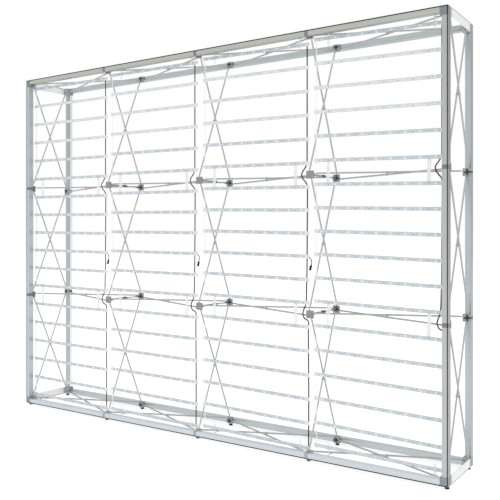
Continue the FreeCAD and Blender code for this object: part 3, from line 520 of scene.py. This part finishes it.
def block(at, u0, u1, y0, y1, v0, v1, c, mat):
    """Small board part on a strip, with its front edges broken by c."""
    b = len(chips)
    for y, k in ((y1, 0.0), (y0 + c, 0.0), (y0, c)):
        for u, v in ((u0 + k, v0 + k), (u1 - k, v0 + k), (u1 - k, v1 - k), (u0 + k, v1 - k)):
            x, z = at(u, v)
            chips.append((x, y, z))
    for r in (0, 4):
        for j in range(4):
            chip_faces.append((b + r + j, b + r + (j + 1) % 4, b + r + 4 + (j + 1) % 4, b + r + 4 + j))
            chip_mat.append(mat)
    chip_faces.append((b + 8, b + 9, b + 10, b + 11))
    chip_mat.append(mat)
    chip_faces.append((b + 3, b + 2, b + 1, b))
    chip_mat.append(mat)


MM = 0.001
for i in range(4):
    for z, slant in strip_heights(i):
        at = hung(i, z, slant)
        f = STRIP_FRONT
        for side in (-1, 1):
            block(at, 0.050, 0.692, f - 0.2 * MM, f, (8.2 * side - 0.45) * MM, (8.2 * side + 0.45) * MM, 0.08 * MM, 2)
        for k in range(LENS_N):
            mid_u = LENS_MID + (k - (LENS_N - 1) / 2.0) * LENS_PITCH
            b = len(verts)
            for u, v, w in lens_pts:
                x, h = at(mid_u + u, v)
                verts.append((x, f - w, h))
            faces.extend([tuple(b + j for j in reversed(q)) for q in lens_faces])
            if k < LENS_N - 1:
                for du, dv, hw, hh in ((22.0, 3.0, 1.8, 1.0), (38.0, -1.6, 3.2, 1.7), (54.0, 3.0, 1.8, 1.0)):
                    cu, cv = mid_u + du * MM, dv * MM
                    block(at, cu - hw * MM, cu + hw * MM, f - 0.75 * MM, f, cv - hh * MM, cv + hh * MM, 0.12 * MM, 0)
                    for sx in (-1, 1):
                        e0, e1 = sorted((cu + sx * (hw - 0.35) * MM, cu + sx * (hw + 0.55) * MM))
                        block(at, e0, e1, f - 0.85 * MM, f, cv - (hh + 0.1) * MM, cv + (hh + 0.1) * MM, 0.1 * MM, 1)
led = piece("led_domes", verts, faces, [M["lens"]], None, "led_lenses", [True] * len(faces))
piece("board_parts", chips, chip_faces, [M["chip"], M["solder"], M["rail"]], chip_mat, None)

# ------------------------------------------------------------------------ cords
LEAD_Z = ROWZ[1] + PITCH * 2.5
LEADS = [[(-13.0, -142.0, -5.0), (-3.5, -142.6, -10.0), (2.0, -143.8, -19.5), (3.5, -144.6, -31.5), (1.0, -145.0, -42.0)],
         [(-13.0, -142.0, -5.0), (-4.0, -142.8, -10.5), (0.8, -144.4, -20.0), (1.8, -145.4, -31.0), (-0.4, -145.8, -41.0)],
         [(-13.0, -142.0, -5.0), (-3.4, -142.4, -9.6), (2.6, -143.2, -18.6), (4.4, -143.8, -30.4), (1.6, -144.0, -41.4)],
         [(-13.0, -142.0, -5.0), (-3.8, -142.6, -10.2), (1.4, -144.0, -19.8), (2.6, -144.9, -31.2), (0.4, -145.3, -41.6)]]
for i in range(4):
    lead_x, lead_z = COLX[i + 1] + HANG[i] + 0.004, LEAD_Z + LIFT[i] - TILT[i] / 2.0
    pts = [(lead_x + a / 1000.0, y / 1000.0, lead_z + z / 1000.0) for a, y, z in LEADS[i]]
    cu = bpy.data.curves.new("led_cord_%d" % (i + 1), "CURVE")
    cu.dimensions = "3D"
    cu.resolution_u = 24
    cu.bevel_depth = 0.0025
    cu.bevel_resolution = 5
    cu.use_fill_caps = True
    sp = cu.splines.new("NURBS")
    sp.points.add(len(pts) - 1)
    for p, q in zip(sp.points, pts):
        p.co = (*q, 1.0)
    sp.order_u = 3
    sp.use_endpoint_u = True
    cord = bpy.data.objects.new("led_cord_%d" % (i + 1), cu)
    scene.collection.objects.link(cord)
    cu.materials.append(M["lead"])
    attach(cord, "frame")
    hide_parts("led_lead_%d" % (i + 1))
    # plug: ribbed boot, rounded body with an open mouth, polarising key
    ez = (Vector(pts[-1]) - Vector(pts[-2])).normalized()
    ex = Vector((0, 1, 0)).cross(ez).normalized()
    ey = ez.cross(ex)
    place = Matrix(((ex.x, ey.x, ez.x, pts[-1][0]), (ex.y, ey.y, ez.y, pts[-1][1]), (ex.z, ey.z, ez.z, pts[-1][2]), (0, 0, 0, 1)))
    boot = [(2.65, 0.0), (3.0, 0.4), (3.0, 1.0), (2.75, 1.3), (2.75, 1.7), (3.3, 2.0), (3.3, 2.8), (2.95, 3.1), (2.95, 3.5),
            (3.55, 3.8), (3.55, 4.7), (3.2, 5.0), (3.2, 5.4), (3.75, 5.7), (3.75, 6.4)]
    pv, pf = loft([circle(r, h, 24) for r, h in boot], 0)
    more, mf = loft([rounded(4.6, 3.3, 0.9, 6.0), rounded(5.25, 3.95, 1.0, 6.25), rounded(5.5, 4.2, 1.1, 6.9),
                     rounded(5.5, 4.2, 1.1, 22.0), rounded(5.15, 3.85, 1.0, 22.4), rounded(5.15, 3.85, 1.0, 23.2),
                     rounded(5.5, 4.2, 1.1, 23.6), rounded(5.5, 4.2, 1.1, 31.3), rounded(5.2, 3.9, 1.0, 31.85),
                     rounded(4.9, 3.6, 0.9, 32.0), rounded(4.35, 3.05, 0.6, 32.0), rounded(4.2, 2.9, 0.5, 31.7),
                     rounded(4.2, 2.9, 0.5, 26.0)], len(pv))
    pv, pf = pv + more, pf + mf
    key = [[(x, y + 4.4, h) for x, y, h in rounded(w, 0.6, 0.3, h)] for w, h in ((1.2, 10.0), (1.6, 10.4), (1.6, 23.6), (1.2, 24.0))]
    more, mf = loft(key, len(pv))
    pv, pf = pv + more, pf + mf
    pin = [[(x + 1.5, y, h) for x, y, h in circle(0.5, h, 12)] for h in (25.9, 30.5, 30.9)]
    for sx in (1, -1):
        more, mf = loft([[(sx * x, y, h) if sx > 0 else (-x, y, h) for x, y, h in (r if sx > 0 else r[::-1])] for r in pin], len(pv))
        pv, pf = pv + more, pf + mf
    pv = [tuple(place @ (Vector(v) * MM)) for v in pv]
    plug = piece("plug_%d" % (i + 1), pv, pf, [M["plug"]], None, "lead_plugs")

# ------------------------------------------------------------- floor and light
bpy.ops.mesh.primitive_plane_add(size=60.0, location=(0, 0, 0))
floor = bpy.context.object
floor.name = "floor"
ft = Tree("floor_pale")
fn = ft.noise(ft.at((2, 2, 2)), 1.0, 2.0)
ft.set(color=ft.ramp(fn, [(0.3, (0.50, 0.50, 0.50)), (0.7, (0.53, 0.53, 0.53))]), rough=0.9)
ft.bsdf.inputs["Specular IOR Level"].default_value = 0.0
ft.bsdf.inputs["Emission Color"].default_value = (1.0, 1.0, 1.0, 1)
ft.bsdf.inputs["Emission Strength"].default_value = 0.70
floor.data.materials.append(ft.mat)

world = bpy.data.worlds.new("studio")
scene.world = world
world.use_nodes = True
wn = world.node_tree
wn.nodes.clear()
w_out = wn.nodes.new("ShaderNodeOutputWorld")
w_mix = wn.nodes.new("ShaderNodeMixShader")
w_path = wn.nodes.new("ShaderNodeLightPath")
w_seen = wn.nodes.new("ShaderNodeBackground")
w_light = wn.nodes.new("ShaderNodeBackground")
w_coord = wn.nodes.new("ShaderNodeTexCoord")
w_sep = wn.nodes.new("ShaderNodeSeparateXYZ")
w_ramp = wn.nodes.new("ShaderNodeValToRGB")
w_map = wn.nodes.new("ShaderNodeMapRange")
w_seen.inputs["Color"].default_value = (1, 1, 1, 1)
w_seen.inputs["Strength"].default_value = 1.0
wn.links.new(w_coord.outputs["Generated"], w_sep.inputs[0])
wn.links.new(w_sep.outputs["Z"], w_map.inputs[0])
w_map.inputs[1].default_value = -1.0
w_map.inputs[2].default_value = 1.0
wn.links.new(w_map.outputs[0], w_ramp.inputs[0])
el = w_ramp.color_ramp.elements
el[0].position, el[0].color = 0.5, (1.0, 1.0, 1.0, 1)
el[1].position, el[1].color = 0.72, (0.84, 0.85, 0.83, 1)
top = el.new(1.0)
top.color = (1.0, 1.0, 1.0, 1)
w_back = wn.nodes.new("ShaderNodeMapRange")
wn.links.new(w_sep.outputs["Y"], w_back.inputs[0])
for k, v in enumerate((-0.3, 0.95, 1.0, 0.78)):
    w_back.inputs[k + 1].default_value = v
w_tone = wn.nodes.new("ShaderNodeVectorMath")
w_tone.operation = "SCALE"
wn.links.new(w_ramp.outputs[0], w_tone.inputs[0])
wn.links.new(w_back.outputs[0], w_tone.inputs["Scale"])
wn.links.new(w_tone.outputs[0], w_light.inputs["Color"])
w_light.inputs["Strength"].default_value = 1.0
wn.links.new(w_path.outputs["Is Camera Ray"], w_mix.inputs[0])
wn.links.new(w_light.outputs[0], w_mix.inputs[1])
wn.links.new(w_seen.outputs[0], w_mix.inputs[2])
wn.links.new(w_mix.outputs[0], w_out.inputs[0])

scene.view_settings.view_transform = "Standard"

# ----------------------------------------------------------------------- camera
cam_data = bpy.data.cameras.new("camera")
cam_data.sensor_width = 36.0
cam_data.lens = 51.0
cam_data.shift_x = -0.0004
cam_data.shift_y = -0.0347
cam_data.clip_start = 0.05
cam_data.clip_end = 200.0
cam = bpy.data.objects.new("camera", cam_data)
scene.collection.objects.link(cam)
cam.location = (2.5279, -3.4059, 1.1883)
cam.rotation_euler = (math.pi / 2, 0.0, 0.5888)
scene.camera = cam

bpy.context.view_layer.update()
